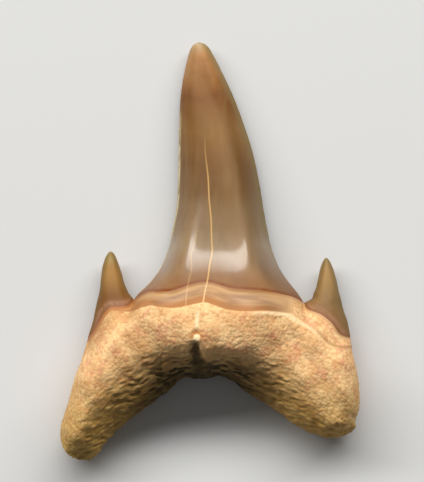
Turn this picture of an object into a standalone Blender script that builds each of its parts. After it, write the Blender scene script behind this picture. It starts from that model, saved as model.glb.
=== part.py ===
"""Fossil shark tooth, lying on its flat (labial) face with the rounded (lingual) face up.

One closed skin makes the whole tooth: a tall main cusp, a small side cusp on each
side of it and a root with two lobes. The skin is two sheets, the upper (lingual) and
the lower (labial) one, which meet along the outline. Each sheet is four patches, one
for each cusp and one band that runs along the root from lobe to lobe, and the height
of every point comes from the same functions of x and y, so that the patches join.

Frame: +Y runs to the tip of the main cusp, +X to the right as seen from above, and
+Z up from the surface that the tooth lies on. The origin is the middle of the lowest
face of the bounding box. Sizes are in millimetres until the mesh is written.
"""

import bmesh
import bpy
import numpy as np

MM = 0.001
WELD = 0.000002

# Height of each station of a cusp, and its left and right edge there, from the tip down
MAIN_CUSP = (
    (8.89, -0.42, -0.42), (8.84, -0.60, -0.22), (8.70, -0.74, -0.05), (8.40, -0.87, 0.14),
    (7.90, -0.99, 0.40), (7.20, -1.13, 0.74), (6.40, -1.23, 1.10), (5.50, -1.27, 1.43), (4.52, -1.29, 1.76),
    (3.01, -1.32, 2.11), (1.99, -1.37, 2.28), (0.97, -1.54, 2.46), (-0.04, -1.79, 2.70),
    (-0.80, -2.12, 3.02), (-1.40, -2.57, 3.43), (-1.82, -3.01, 3.77), (-2.08, -3.20, 3.94),
    (-2.22, -3.28, 4.02), (-4.50, -4.60, 5.30),
)
LEFT_CUSP = (
    (-0.04, -4.20, -4.20), (-0.16, -4.34, -4.04), (-0.42, -4.47, -3.91), (-0.93, -4.58, -3.73),
    (-1.57, -4.64, -3.53), (-1.82, -4.68, -3.41), (-2.08, -4.74, -3.20), (-2.40, -4.81, -3.10),
    (-2.84, -4.90, -3.00), (-3.75, -5.16, -2.80),
)
RIGHT_CUSP = (
    (-0.30, 4.99, 4.99), (-0.42, 4.86, 5.12), (-0.68, 4.75, 5.25), (-1.19, 4.63, 5.40),
    (-1.82, 4.44, 5.54), (-2.08, 4.29, 5.60), (-2.22, 4.02, 5.64), (-2.50, 3.82, 5.71),
    (-3.09, 3.50, 5.89), (-3.70, 3.18, 6.00), (-4.25, 2.90, 6.06),
)

# The enamel's lower border under each cusp: share of the way across, and height
MAIN_BORDER = (
    (0.0, -2.08), (0.04, -1.78), (0.12, -1.71), (0.20, -1.67), (0.28, -1.46), (0.36, -1.32), (0.43, -1.31),
    (0.50, -1.42), (0.58, -1.56), (0.70, -1.63), (0.82, -1.70), (0.90, -1.83), (0.97, -2.02), (1.0, -2.22),
)
LEFT_BORDER = (
    (0.0, -3.75), (0.09, -3.37), (0.17, -2.86), (0.30, -2.50), (0.60, -2.38), (0.88, -2.26), (1.0, -2.08),
)
RIGHT_BORDER = (
    (0.0, -2.22), (0.03, -2.24), (0.08, -2.32), (0.15, -2.44), (0.29, -2.55), (0.50, -2.70),
    (0.61, -2.86), (0.735, -3.14), (0.82, -3.49), (0.90, -3.62), (1.0, -3.70),
)

# Outer edge of each lobe, from the lobe's end up to the enamel
LEFT_LOBE = (
    (-5.45, -8.89), (-5.91, -8.70), (-6.19, -8.33), (-6.32, -7.60), (-6.16, -6.98),
    (-5.91, -6.20), (-5.66, -5.25), (-5.34, -4.40), (-5.16, -3.75),
)
RIGHT_LOBE = (
    (6.05, -7.70), (6.19, -7.53), (6.21, -7.34), (6.20, -7.14), (6.32, -6.86), (6.38, -6.50),
    (6.38, -5.90), (6.24, -4.95), (6.07, -4.25), (6.00, -3.70),
)

# Edge of the arch between the lobes, from the end of the left one to that of the right one
ARCH = (
    (-5.45, -8.89), (-5.10, -8.86), (-4.74, -8.64), (-4.40, -8.17), (-3.60, -7.37), (-2.33, -6.39),
    (-1.78, -6.00), (-1.35, -5.57), (-1.02, -5.37), (-0.55, -5.42), (-0.10, -5.44), (0.40, -5.31),
    (0.93, -5.50), (1.48, -5.91), (2.75, -6.73), (4.02, -7.60), (4.57, -7.82), (5.08, -7.93),
    (5.60, -7.90), (6.05, -7.70),
)
ARCH_UNDER_CUSPS = (0.30, 0.39, 0.60, 0.70)

# Heights above the surface that the tooth lies on, along Y
MAIN_RIDGE = (
    (8.89, 0.46), (8.84, 0.59), (8.72, 0.74), (8.45, 0.91), (8.00, 1.06), (7.00, 1.26), (5.50, 1.50),
    (4.00, 1.73), (2.50, 1.97), (1.30, 2.17), (0.70, 2.30), (0.20, 2.45), (-0.40, 2.68), (-0.90, 2.91),
    (-1.30, 3.14), (-1.70, 3.40), (-2.40, 3.76), (-4.50, 3.90),
)
SIDE_RIDGE = (
    (-0.04, 0.72), (-0.14, 0.82), (-0.36, 0.96), (-0.80, 1.10), (-1.60, 1.30), (-2.60, 1.62), (-4.20, 2.00),
)
SIDE_FLAT = ((-0.04, 0.58), (-0.60, 0.36), (-1.60, 0.26), (-2.60, 0.38), (-4.20, 0.36))
CUTTING_EDGE = ((8.89, 0.42), (6.00, 0.46), (2.00, 0.52), (-0.50, 0.66), (-2.24, 0.88), (-4.20, 1.00))
FLAT_SIDE = (
    (8.89, 0.30), (7.50, 0.12), (6.20, 0.02), (5.40, -0.03), (3.00, -0.05), (0.60, -0.03), (-0.40, 0.06),
    (-1.60, 0.30), (-2.60, 0.42), (-4.20, 0.36), (-5.60, 0.16), (-6.60, 0.02), (-7.40, -0.05), (-8.89, 0.10),
)
LOBE_TOP = ((-1.20, 2.50), (-3.20, 2.70), (-5.00, 2.85), (-6.40, 2.75), (-7.60, 2.55), (-8.89, 2.20))

# Rounding of the edges, and the side that falls into the arch: x, and how far in it starts
ROOT_EDGE = 1.05
ROOT_ROUNDING = 1.00
CUSP_ROUNDING = 0.04
FLAT_ROUNDING = 0.60
FLAT_FULLNESS = 1.15
ARCH_FALL = (
    (-6.40, 0.95), (-5.20, 1.60), (-4.20, 2.35), (-3.30, 2.60), (-2.40, 2.25), (-1.50, 1.75),
    (0.00, 1.42), (1.50, 1.65), (2.40, 2.10), (3.20, 2.25), (4.00, 1.70), (4.80, 1.00), (6.40, 0.60),
)
ARCH_STEEPNESS = 1.4

# Cross-section of a cusp: share of its height in the rounded body, the rest is in the blade,
# how steep its shoulders are, how flat it is at the tip and at the base and on the side cusps,
# how thin the blade is, where across the base the ridge is, and between which heights the base's
# section takes over from the tip's
BODY = 0.90
BODY_SHOULDER = 1.10
BODY_FLATNESS = (3.0, 5.0)
SIDE_FLATNESS = 2.8
BLADE_FLATNESS = 10
RIDGE_AT = 0.36
BASE_BEGINS = (2.50, -0.50)

# Below the border: where the cusps start to turn into the root, and where they have; unevenness
# of the root's rounded side and of its flat side, which is even again towards the lobes' ends
BLEND = (-0.10, 1.15)
LUMP_HEIGHT = 0.10
FLAT_LUMP = 0.05
FLAT_LUMPS_AT = (-7.00, -5.00)

# Swelling of the root under the main cusp: place, reach, height and steepness of its sides
BULGE_AT = (-0.05, -3.15)
BULGE_REACH = (2.60, 1.75)
BULGE_HEIGHT = 1.55
BULGE_STEEPNESS = 1.40

# Bare neck between the enamel and the root's rim: x, and width there; how far it is sunk, and
# the distances from the enamel and from the rim between which it sinks and rises again
NECK = (
    (-5.20, 0.10), (-3.80, 0.15), (-3.20, 0.28), (-2.60, 0.50), (-1.50, 0.68), (-0.40, 0.80),
    (2.90, 0.77), (3.40, 0.69), (3.70, 0.59), (4.00, 0.58), (4.36, 0.68), (4.70, 0.65),
    (5.20, 0.54), (6.10, 0.34),
)
NECK_SINK = 0.05
NECK_START = (-0.04, 0.20)
NECK_END = (-0.10, 0.12)

# Nutrient groove: y, x, depth and half-width down its middle; the heights between which it
# starts; the place, depth and reach of the pit at its head
GROOVE = (
    (-2.60, -0.49, 0.03, 0.09), (-3.40, -0.54, 0.06, 0.11), (-3.72, -0.56, 0.12, 0.15),
    (-3.95, -0.57, 0.46, 0.19), (-4.40, -0.53, 0.60, 0.25), (-5.00, -0.42, 0.46, 0.32),
    (-5.60, -0.40, 0.20, 0.40),
)
GROOVE_START = (-2.50, -2.75)
PIT = (-0.55, -3.42, 0.12, 0.16)

# Faces along and across each patch
MAIN_ROWS = 36
SIDE_ROWS = 11
MAIN_COLUMNS = 26
SIDE_COLUMNS = 7
BAND_ROWS = 16
LOBE_COLUMNS = 17
LINE_POINTS = 24

# Rows of the main cusp's grid: how much they close up towards its base and its tip
TIP_SPREAD = 1.15
TIP_ROUND = 0.45


def curve(at, knots):
    """Smooth curve through rows of (position, value, ...), read at the positions in at."""
    table = np.asarray(knots, float)
    if table[0, 0] > table[-1, 0]:
        table = table[::-1]
    place = table[:, 0]
    value = table[:, 1:]
    slope = np.gradient(value, place, axis=0)
    at = np.clip(at, place[0], place[-1])
    k = np.clip(np.searchsorted(place, at, side="right") - 1, 0, len(place) - 2)
    span = (place[k + 1] - place[k])[..., None]
    t = (at - place[k])[..., None] / span
    start = value[k] * (2 * t**3 - 3 * t**2 + 1) + slope[k] * span * (t**3 - 2 * t**2 + t)
    end = value[k + 1] * (3 * t**2 - 2 * t**3) + slope[k + 1] * span * (t**3 - t**2)
    both = start + end
    return both[..., 0] if both.shape[-1] == 1 else both


def step(low, high, x):
    """0 below low, 1 above high, and a smooth rise between them."""
    t = np.clip((x - low) / (high - low), 0.0, 1.0)
    return t * t * (3 - 2 * t)


def even(count):
    """Places from 0 to 1, closer together towards both ends."""
    return (1 - np.cos(np.pi * np.arange(count + 1) / count)) / 2


def along(points, share):
    """Points at the given shares of the length of a smooth line through the points."""
    points = np.asarray(points, float)
    gaps = np.hypot(*np.diff(points, axis=0).T)
    place = np.concatenate([[0.0], np.cumsum(gaps)])
    return curve(np.asarray(share) * place[-1], np.column_stack([place, points]))


def cusp_sides(cusp, y):
    """Left and right edge of a cusp at height y. The root of the drop rounds the tip."""
    table = np.asarray(cusp, float)
    tip = table[0, 0]
    table[:, 0] = np.sqrt(tip - table[:, 0])
    sides = curve(np.sqrt(np.clip(tip - y, 0.0, None)), table)
    return sides[..., 0], sides[..., 1]


def cusp_patch(cusp, border, across, up):
    """Grid over a cusp: shares across, and shares of the way up from the border to the tip."""
    base = curve(across, border)
    y = base + (cusp[0][0] - base) * up[:, None]
    left, right = cusp_sides(cusp, y)
    return left + (right - left) * across, y


def root_patch(left_border, main_border, right_border, lobe_columns, rows):
    """Band over the root: ribs from the arch's edge to the outer edge or the enamel."""
    end = 1 - np.cos(0.5 * np.pi * np.arange(lobe_columns + 1) / lobe_columns)
    outer = np.concatenate([
        along(LEFT_LOBE, end), left_border[1:], main_border[1:], right_border[1:],
        along(RIGHT_LOBE, end)[::-1][1:],
    ])
    counts = (len(left_border) - 1, len(main_border) - 1, len(right_border) - 1)
    stops = ARCH_UNDER_CUSPS
    shares = [stops[0] * end]
    for count, low, high in zip(counts, stops[:-1], stops[1:]):
        shares.append(low + (high - low) * np.arange(1, count + 1) / count)
    shares.append(1 - (1 - stops[-1]) * end[::-1][1:])
    inner = along(ARCH, np.concatenate(shares))
    v = even(rows)[:, None]
    return inner[:, 0] + (outer[:, 0] - inner[:, 0]) * v, inner[:, 1] + (outer[:, 1] - inner[:, 1]) * v


def distance(x, y, line):
    """Distance of each point from a line of short straight pieces."""
    nearest = np.full(x.shape, np.inf)
    for (ax, ay), (bx, by) in zip(line[:-1], line[1:]):
        dx = bx - ax
        dy = by - ay
        t = np.clip(((x - ax) * dx + (y - ay) * dy) / max(dx * dx + dy * dy, 1e-12), 0.0, 1.0)
        nearest = np.minimum(nearest, (x - ax - t * dx) ** 2 + (y - ay - t * dy) ** 2)
    return np.sqrt(nearest)


def border_line():
    """The enamel's lower border from the left side to the right, as one line."""
    across = even(LINE_POINTS)
    parts = []
    for cusp, border in ((LEFT_CUSP, LEFT_BORDER), (MAIN_CUSP, MAIN_BORDER), (RIGHT_CUSP, RIGHT_BORDER)):
        x, y = cusp_patch(cusp, border, across, np.zeros(1))
        parts.append(np.column_stack([x[0], y[0]]))
    return np.concatenate(parts)


def outline_of(patches, lobe_columns):
    """The edge of the whole grid, which both sheets end on: the outer line and the arch."""
    root_x, root_y = patches[-1]
    parts = [np.column_stack([root_x[-1, :lobe_columns + 1], root_y[-1, :lobe_columns + 1]])]
    for x, y in patches[:-1]:
        parts.append(np.column_stack([x[:, 0], y[:, 0]]))
        parts.append(np.column_stack([x[::-1, -1], y[::-1, -1]]))
    parts.append(np.column_stack([root_x[-1, -lobe_columns - 1:], root_y[-1, -lobe_columns - 1:]]))
    return np.concatenate(parts), np.column_stack([root_x[0], root_y[0]])


def below_border(x, y):
    """Distance below the enamel's border, less than 0 above it."""
    line = border_line()
    level = np.interp(x, line[:, 0], line[:, 1])
    return np.where(y < level, 1.0, -1.0) * distance(x, y, line)


def cusp_fullness(cusp, x, y, flatness, ridge_at):
    """1 on the ridge of a cusp and 0 at its edges, with a thin blade along them."""
    left, right = cusp_sides(cusp, y)
    ridge = left + (right - left) * ridge_at
    width = np.maximum(np.where(x < ridge, ridge - left, right - ridge), 1e-6)
    side = np.clip(np.abs(x - ridge) / width, 0.0, 1.0)
    return BODY * (1 - side**flatness) ** BODY_SHOULDER + (1 - BODY) * (1 - side**BLADE_FLATNESS)


def rounding(gap, reach):
    """Quarter circle: 0 at the edge, 1 at the given reach from it and beyond."""
    return np.sqrt(1 - (1 - np.clip(gap / reach, 0.0, 1.0)) ** 2)


def lumps(x, y):
    """Broad, shallow unevenness of the root, a sum of waves in several directions."""
    return (
        0.50 * np.sin(2.1 * x + 1.3 * y + 0.4) * np.sin(1.7 * y - 0.8 * x + 1.1)
        + 0.35 * np.sin(3.7 * x - 2.2 * y + 2.0) * np.sin(2.9 * y + 1.6 * x)
        + 0.25 * np.sin(5.3 * x + 3.9 * y + 0.7)
    )


def heights(x, y, outer_line, arch_line):
    """Height of the upper and of the lower sheet at each point."""
    below = below_border(x, y)
    root = step(*BLEND, below)
    rim = curve(x, NECK)
    outer_gap = distance(x, y, outer_line)
    arch_gap = distance(x, y, arch_line)
    edge = (1 - root) * curve(y, CUTTING_EDGE) + root * ROOT_EDGE
    low = step(*BASE_BEGINS, y)
    flatness = BODY_FLATNESS[0] + (BODY_FLATNESS[1] - BODY_FLATNESS[0]) * low
    main = cusp_fullness(MAIN_CUSP, x, y, flatness, 0.5 + (RIDGE_AT - 0.5) * low)
    left = cusp_fullness(LEFT_CUSP, x, y, SIDE_FLATNESS, 0.5)
    right = cusp_fullness(RIGHT_CUSP, x, y, SIDE_FLATNESS, 0.5)
    side = np.where(y < 0.0, np.maximum(left, right), 0.0)

    cusp_top = edge + np.maximum((curve(y, MAIN_RIDGE) - edge) * main, (curve(y, SIDE_RIDGE) - edge) * side)
    from_bulge = ((x - BULGE_AT[0]) / BULGE_REACH[0]) ** 2 + ((y - BULGE_AT[1]) / BULGE_REACH[1]) ** 2
    root_top = curve(y, LOBE_TOP) + LUMP_HEIGHT * lumps(x, y)
    root_top = root_top + BULGE_HEIGHT * np.exp(-(from_bulge**BULGE_STEEPNESS))
    groove = curve(y, GROOVE)
    in_groove = np.exp(-(((x - groove[..., 0]) / groove[..., 2]) ** 2))
    root_top = root_top - groove[..., 1] * in_groove * step(*GROOVE_START, y)
    root_top = root_top - PIT[2] * np.exp(-(((x - PIT[0]) ** 2 + (y - PIT[1]) ** 2) / PIT[3] ** 2))
    top = (1 - root) * cusp_top + root * root_top
    top = top - NECK_SINK * step(*NECK_START, below) * (1 - step(*NECK_END, below - rim))

    outer_reach = CUSP_ROUNDING + (ROOT_ROUNDING - CUSP_ROUNDING) * root
    arch_reach = CUSP_ROUNDING + (curve(x, ARCH_FALL) - CUSP_ROUNDING) * root
    round_top = rounding(outer_gap, outer_reach) * rounding(arch_gap, arch_reach) ** ARCH_STEEPNESS
    round_flat = rounding(np.minimum(outer_gap, arch_gap), FLAT_ROUNDING * outer_reach)
    upper = edge + np.maximum(top - edge, 0.0) * round_top
    fullness = (1 - root) * np.clip(FLAT_FULLNESS * np.maximum(main, side), 0.0, 1.0) + root
    floor = (1 - root) * np.where(side > main, curve(y, SIDE_FLAT), curve(y, FLAT_SIDE))
    floor = floor + root * (curve(y, FLAT_SIDE) + FLAT_LUMP * step(*FLAT_LUMPS_AT, y) * lumps(y, x))
    floor = np.maximum(floor, 0.0)
    lower = edge - (edge - floor) * fullness * round_flat
    return upper, lower


def sheet_faces(rows, columns, first, up):
    """Quads of one grid of points, wound so that they face up or down."""
    faces = []
    for r in range(rows):
        for c in range(columns):
            a = first + r * (columns + 1) + c
            quad = (a, a + 1, a + columns + 2, a + columns + 1)
            faces.append(quad if up else quad[::-1])
    return faces


def tooth_mesh():
    """Both sheets over the four patches, welded along the outline and between patches."""
    main_across = even(MAIN_COLUMNS)
    side_across = even(SIDE_COLUMNS)
    main_up = np.linspace(0.0, 1.0, MAIN_ROWS + 1) ** TIP_SPREAD
    main_up = (1 - TIP_ROUND) * main_up + TIP_ROUND * np.sin(0.5 * np.pi * main_up)
    side_up = np.sin(0.5 * np.pi * np.linspace(0.0, 1.0, SIDE_ROWS + 1))
    patches = [
        cusp_patch(LEFT_CUSP, LEFT_BORDER, side_across, side_up),
        cusp_patch(MAIN_CUSP, MAIN_BORDER, main_across, main_up),
        cusp_patch(RIGHT_CUSP, RIGHT_BORDER, side_across, side_up),
    ]
    borders = [np.column_stack([x[0], y[0]]) for x, y in patches]
    patches.append(root_patch(*borders, LOBE_COLUMNS, BAND_ROWS))

    outer_line, arch_line = outline_of(patches, LOBE_COLUMNS)

    points = []
    faces = []
    count = 0
    for x, y in patches:
        for z, up in zip(heights(x, y, outer_line, arch_line), (True, False)):
            points.append(np.column_stack([x.ravel(), y.ravel(), z.ravel()]))
            faces += sheet_faces(x.shape[0] - 1, x.shape[1] - 1, count, up)
            count += x.size
    points = np.concatenate(points)
    points[:, 0] -= 0.5 * (points[:, 0].min() + points[:, 0].max())
    points[:, 1] -= 0.5 * (points[:, 1].min() + points[:, 1].max())
    points[:, 2] -= points[:, 2].min()

    mesh = bpy.data.meshes.new("tooth")
    mesh.from_pydata((points * MM).tolist(), [], faces)
    work = bmesh.new()
    work.from_mesh(mesh)
    bmesh.ops.remove_doubles(work, verts=work.verts, dist=WELD)
    bmesh.ops.dissolve_degenerate(work, edges=work.edges, dist=WELD)
    bmesh.ops.triangulate(work, faces=work.faces, quad_method="SHORT_EDGE")
    work.to_mesh(mesh)
    work.free()
    mesh.shade_smooth()
    return mesh


def fossil_material():
    """Mineralised tooth: warm tan and half matt, as the root and most of the enamel are."""
    material = bpy.data.materials.new("tooth")
    material.use_nodes = True
    shader = material.node_tree.nodes["Principled BSDF"]
    shader.inputs["Base Color"].default_value = (0.45, 0.30, 0.16, 1.0)
    shader.inputs["Roughness"].default_value = 0.55
    shader.inputs["Metallic"].default_value = 0.0
    return material


def main():
    for thing in list(bpy.data.objects):
        bpy.data.objects.remove(thing, do_unlink=True)
    tooth = bpy.data.objects.new("tooth", tooth_mesh())
    tooth.data.materials.append(fossil_material())
    bpy.context.scene.collection.objects.link(tooth)


main()
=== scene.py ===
# %% The frame
from functools import partial

import bmesh
import bpy
import numpy as np
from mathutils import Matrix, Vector


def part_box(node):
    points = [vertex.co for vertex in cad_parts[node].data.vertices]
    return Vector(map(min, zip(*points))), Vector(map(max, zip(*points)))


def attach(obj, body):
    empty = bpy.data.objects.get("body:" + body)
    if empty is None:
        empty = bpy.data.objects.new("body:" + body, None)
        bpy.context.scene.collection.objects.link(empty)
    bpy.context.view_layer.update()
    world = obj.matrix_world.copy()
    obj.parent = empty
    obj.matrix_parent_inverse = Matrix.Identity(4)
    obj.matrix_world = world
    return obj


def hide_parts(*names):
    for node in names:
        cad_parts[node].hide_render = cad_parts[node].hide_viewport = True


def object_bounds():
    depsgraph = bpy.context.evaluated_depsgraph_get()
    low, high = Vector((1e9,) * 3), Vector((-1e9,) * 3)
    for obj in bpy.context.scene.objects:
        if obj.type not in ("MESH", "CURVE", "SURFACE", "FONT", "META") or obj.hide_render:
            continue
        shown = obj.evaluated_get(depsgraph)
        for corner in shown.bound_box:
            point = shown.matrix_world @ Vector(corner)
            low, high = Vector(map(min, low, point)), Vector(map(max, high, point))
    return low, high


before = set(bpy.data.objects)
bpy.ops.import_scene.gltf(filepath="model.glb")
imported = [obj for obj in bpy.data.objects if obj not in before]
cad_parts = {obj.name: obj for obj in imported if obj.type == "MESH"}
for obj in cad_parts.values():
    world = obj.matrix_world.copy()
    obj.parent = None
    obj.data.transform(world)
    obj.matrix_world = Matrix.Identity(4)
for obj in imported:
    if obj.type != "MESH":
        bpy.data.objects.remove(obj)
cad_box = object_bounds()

MM = 0.001
print("frame box in mm:", [[round(v / MM, 2) for v in corner] for corner in cad_box])

# %% [markdown]
# A fossil tooth is one piece, but it shows three finishes: glossy enameloid on the cusps,
# a smooth bare neck under it, and a porous root with a grain like fine sandstone.
# It could be sculpted by hand, or cut from a block. Here it is drawn as two sheets over
# one outline, an upper and a lower one, because a tooth lying flat is a hill in x and y:
# each height is then a formula, and the same formula says where every colour belongs.
# All sizes in this lesson are millimetres, and the mesh is scaled to metres at the end.

# %% The outline
# Each row of a cusp: height, left edge, right edge, from the tip down
MAIN_CUSP = (
    (8.89, -0.42, -0.42), (8.84, -0.60, -0.22), (8.70, -0.74, -0.05), (8.40, -0.87, 0.14),
    (7.90, -0.99, 0.40), (7.20, -1.13, 0.74), (6.40, -1.23, 1.10), (5.50, -1.27, 1.43), (4.52, -1.29, 1.76),
    (3.01, -1.32, 2.11), (1.99, -1.37, 2.28), (0.97, -1.54, 2.46), (-0.04, -1.79, 2.70),
    (-0.80, -2.12, 3.02), (-1.40, -2.57, 3.43), (-1.82, -3.01, 3.77), (-2.08, -3.20, 3.94),
    (-2.22, -3.28, 4.02), (-4.50, -4.60, 5.30),
)
LEFT_CUSP = (
    (-0.04, -4.20, -4.20), (-0.16, -4.34, -4.04), (-0.42, -4.47, -3.91), (-0.93, -4.58, -3.73),
    (-1.57, -4.64, -3.53), (-1.82, -4.68, -3.41), (-2.08, -4.74, -3.20), (-2.40, -4.81, -3.10),
    (-2.84, -4.90, -3.00), (-3.75, -5.16, -2.80),
)
RIGHT_CUSP = (
    (-0.30, 4.99, 4.99), (-0.42, 4.86, 5.12), (-0.68, 4.75, 5.25), (-1.19, 4.63, 5.40),
    (-1.82, 4.44, 5.54), (-2.08, 4.29, 5.60), (-2.22, 4.02, 5.64), (-2.50, 3.82, 5.71),
    (-3.09, 3.50, 5.89), (-3.70, 3.18, 6.00), (-4.25, 2.90, 6.06),
)
# Where the notches on both sides of the main cusp are, in x
NOTCHES = (-3.20, 4.02)

# Lower border of the enameloid under each cusp: share of the way across, and height
MAIN_BORDER = (
    (0.0, -2.08), (0.04, -1.78), (0.12, -1.71), (0.20, -1.67), (0.28, -1.46), (0.36, -1.32), (0.43, -1.31),
    (0.50, -1.42), (0.58, -1.56), (0.70, -1.63), (0.82, -1.70), (0.90, -1.83), (0.97, -2.02), (1.0, -2.22),
)
LEFT_BORDER = (
    (0.0, -3.75), (0.09, -3.37), (0.17, -2.86), (0.30, -2.50), (0.60, -2.38), (0.88, -2.26), (1.0, -2.08),
)
RIGHT_BORDER = (
    (0.0, -2.22), (0.03, -2.24), (0.08, -2.32), (0.15, -2.44), (0.29, -2.55), (0.50, -2.70),
    (0.61, -2.86), (0.735, -3.14), (0.82, -3.49), (0.90, -3.62), (1.0, -3.70),
)

# Outer edge of each root lobe, from its end up to the enameloid, and the arch between them
LEFT_LOBE = (
    (-5.45, -8.89), (-5.91, -8.70), (-6.19, -8.33), (-6.32, -7.60), (-6.16, -6.98),
    (-5.91, -6.20), (-5.66, -5.25), (-5.34, -4.40), (-5.16, -3.75),
)
RIGHT_LOBE = (
    (6.05, -7.70), (6.19, -7.53), (6.21, -7.34), (6.20, -7.14), (6.32, -6.86), (6.38, -6.50),
    (6.38, -5.90), (6.24, -4.95), (6.07, -4.25), (6.00, -3.70),
)
ARCH = (
    (-5.45, -8.89), (-5.10, -8.86), (-4.74, -8.64), (-4.40, -8.17), (-3.60, -7.37), (-2.33, -6.39),
    (-1.78, -6.00), (-1.35, -5.57), (-1.02, -5.37), (-0.55, -5.42), (-0.10, -5.44), (0.40, -5.31),
    (0.93, -5.50), (1.48, -5.91), (2.75, -6.73), (4.02, -7.60), (4.57, -7.82), (5.08, -7.93),
    (5.60, -7.90), (6.05, -7.70),
)
# Shares of the arch's length at which the ribs of the root pass from one cusp to the next
ARCH_UNDER_CUSPS = (0.30, 0.39, 0.60, 0.70)


def curve(at, knots):
    """Smooth curve through rows of (position, value, ...): on each stretch the cubic whose
    ends have the rows' values and the slopes that their neighbours give."""
    table = np.asarray(knots, float)
    if table[0, 0] > table[-1, 0]:
        table = table[::-1]
    place = table[:, 0]
    value = table[:, 1:]
    slope = np.gradient(value, place, axis=0)
    at = np.clip(at, place[0], place[-1])
    k = np.clip(np.searchsorted(place, at, side="right") - 1, 0, len(place) - 2)
    span = (place[k + 1] - place[k])[..., None]
    t = (at - place[k])[..., None] / span
    start = value[k] * (2 * t**3 - 3 * t**2 + 1) + slope[k] * span * (t**3 - 2 * t**2 + t)
    end = value[k + 1] * (3 * t**2 - 2 * t**3) + slope[k + 1] * span * (t**3 - t**2)
    both = start + end
    return both[..., 0] if both.shape[-1] == 1 else both


def step(low, high, x):
    """0 below low, 1 above high, and 3t^2 - 2t^3 between them."""
    t = np.clip((x - low) / (high - low), 0.0, 1.0)
    return t * t * (3 - 2 * t)


def even(count):
    """Places from 0 to 1 by the cosine rule, closer together towards both ends."""
    return (1 - np.cos(np.pi * np.arange(count + 1) / count)) / 2


def along(points, share):
    """Points at the given shares of the length of a smooth line through the points."""
    points = np.asarray(points, float)
    gaps = np.hypot(*np.diff(points, axis=0).T)
    place = np.concatenate([[0.0], np.cumsum(gaps)])
    return curve(np.asarray(share) * place[-1], np.column_stack([place, points]))


def cusp_sides(cusp, y):
    """Left and right edge of a cusp at height y. The square root of the drop from the tip
    is the curve's position, which rounds the tip like a parabola."""
    table = np.asarray(cusp, float)
    tip = table[0, 0]
    table[:, 0] = np.sqrt(tip - table[:, 0])
    sides = curve(np.sqrt(np.clip(tip - y, 0.0, None)), table)
    return sides[..., 0], sides[..., 1]


print("tooth is", MAIN_CUSP[0][0] - LEFT_LOBE[0][1], "mm long")

# %% [markdown]
# The outline is cut into four patches that a grid can cover: one for each cusp, and one
# band for the root that runs round the arch from lobe to lobe. A patch is a function of
# two shares, one across and one along. Where two patches meet they are given the same
# points, so that they can be welded into one skin, and the enameloid's edge, the sharpest
# line on the tooth, falls exactly on a line of the mesh.

# %% The patches
# Faces across and along each patch
MAIN_COLUMNS = 104
MAIN_ROWS = 100
SIDE_COLUMNS = 34
SIDE_ROWS = 44
LOBE_COLUMNS = 100
ROWS_ABOVE = 140
ROWS_BELOW = 40
# How much the rows of the main cusp close up towards its base and its tip
TIP_SPREAD = 1.15
TIP_ROUND = 0.45


def cusp_patch(cusp, border, across, up):
    """Point (u, v) lies v of the way up from the border to the tip, and u of the way from
    the left edge to the right one at that height."""
    base = curve(across, border)
    y = base + (cusp[0][0] - base) * up[:, None]
    left, right = cusp_sides(cusp, y)
    return left + (right - left) * across, y


def root_patch(left_border, main_border, right_border, rows):
    """Point (u, v) lies v of the way along rib u, a straight rib from the arch's edge to
    the outer edge, and the ribs fan out round the arch."""
    end = 1 - np.cos(0.5 * np.pi * np.arange(LOBE_COLUMNS + 1) / LOBE_COLUMNS)
    outer = np.concatenate([
        along(LEFT_LOBE, end), left_border[1:], main_border[1:], right_border[1:],
        along(RIGHT_LOBE, end)[::-1][1:],
    ])
    counts = (len(left_border) - 1, len(main_border) - 1, len(right_border) - 1)
    stops = ARCH_UNDER_CUSPS
    shares = [stops[0] * end]
    for count, low, high in zip(counts, stops[:-1], stops[1:]):
        shares.append(low + (high - low) * np.arange(1, count + 1) / count)
    shares.append(1 - (1 - stops[-1]) * end[::-1][1:])
    inner = along(ARCH, np.concatenate(shares))
    v = 0.5 * (even(rows) + np.linspace(0.0, 1.0, rows + 1))[:, None]
    return inner[:, 0] + (outer[:, 0] - inner[:, 0]) * v, inner[:, 1] + (outer[:, 1] - inner[:, 1]) * v


main_up = np.linspace(0.0, 1.0, MAIN_ROWS + 1) ** TIP_SPREAD
main_up = (1 - TIP_ROUND) * main_up + TIP_ROUND * np.sin(0.5 * np.pi * main_up)
side_up = np.sin(0.5 * np.pi * np.linspace(0.0, 1.0, SIDE_ROWS + 1))
cusp_patches = [
    cusp_patch(LEFT_CUSP, LEFT_BORDER, even(SIDE_COLUMNS), side_up),
    cusp_patch(MAIN_CUSP, MAIN_BORDER, even(MAIN_COLUMNS), main_up),
    cusp_patch(RIGHT_CUSP, RIGHT_BORDER, even(SIDE_COLUMNS), side_up),
]
borders = [np.column_stack([x[0], y[0]]) for x, y in cusp_patches]
root_x, root_y = root_patch(*borders, ROWS_ABOVE)
sheets = {
    "upper": cusp_patches + [(root_x, root_y)],
    "lower": cusp_patches + [root_patch(*borders, ROWS_BELOW)],
}

border_line = np.concatenate(borders)
arch_line = np.column_stack([root_x[0], root_y[0]])
outer_parts = [np.column_stack([root_x[-1, :LOBE_COLUMNS + 1], root_y[-1, :LOBE_COLUMNS + 1]])]
for x, y in cusp_patches:
    outer_parts.append(np.column_stack([x[:, 0], y[:, 0]]))
    outer_parts.append(np.column_stack([x[::-1, -1], y[::-1, -1]]))
outer_parts.append(np.column_stack([root_x[-1, -LOBE_COLUMNS - 1:], root_y[-1, -LOBE_COLUMNS - 1:]]))
outer_line = np.concatenate(outer_parts)
print("grid points:", {name: sum(x.size for x, y in patches) for name, patches in sheets.items()})

# %% [markdown]
# Next come the distances that everything else is built from: how far a point is from the
# arch, from the outer edge, from the enameloid's border and from the rim of the root.
# With them, rounding an edge or drawing a border is one short line each.

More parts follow.
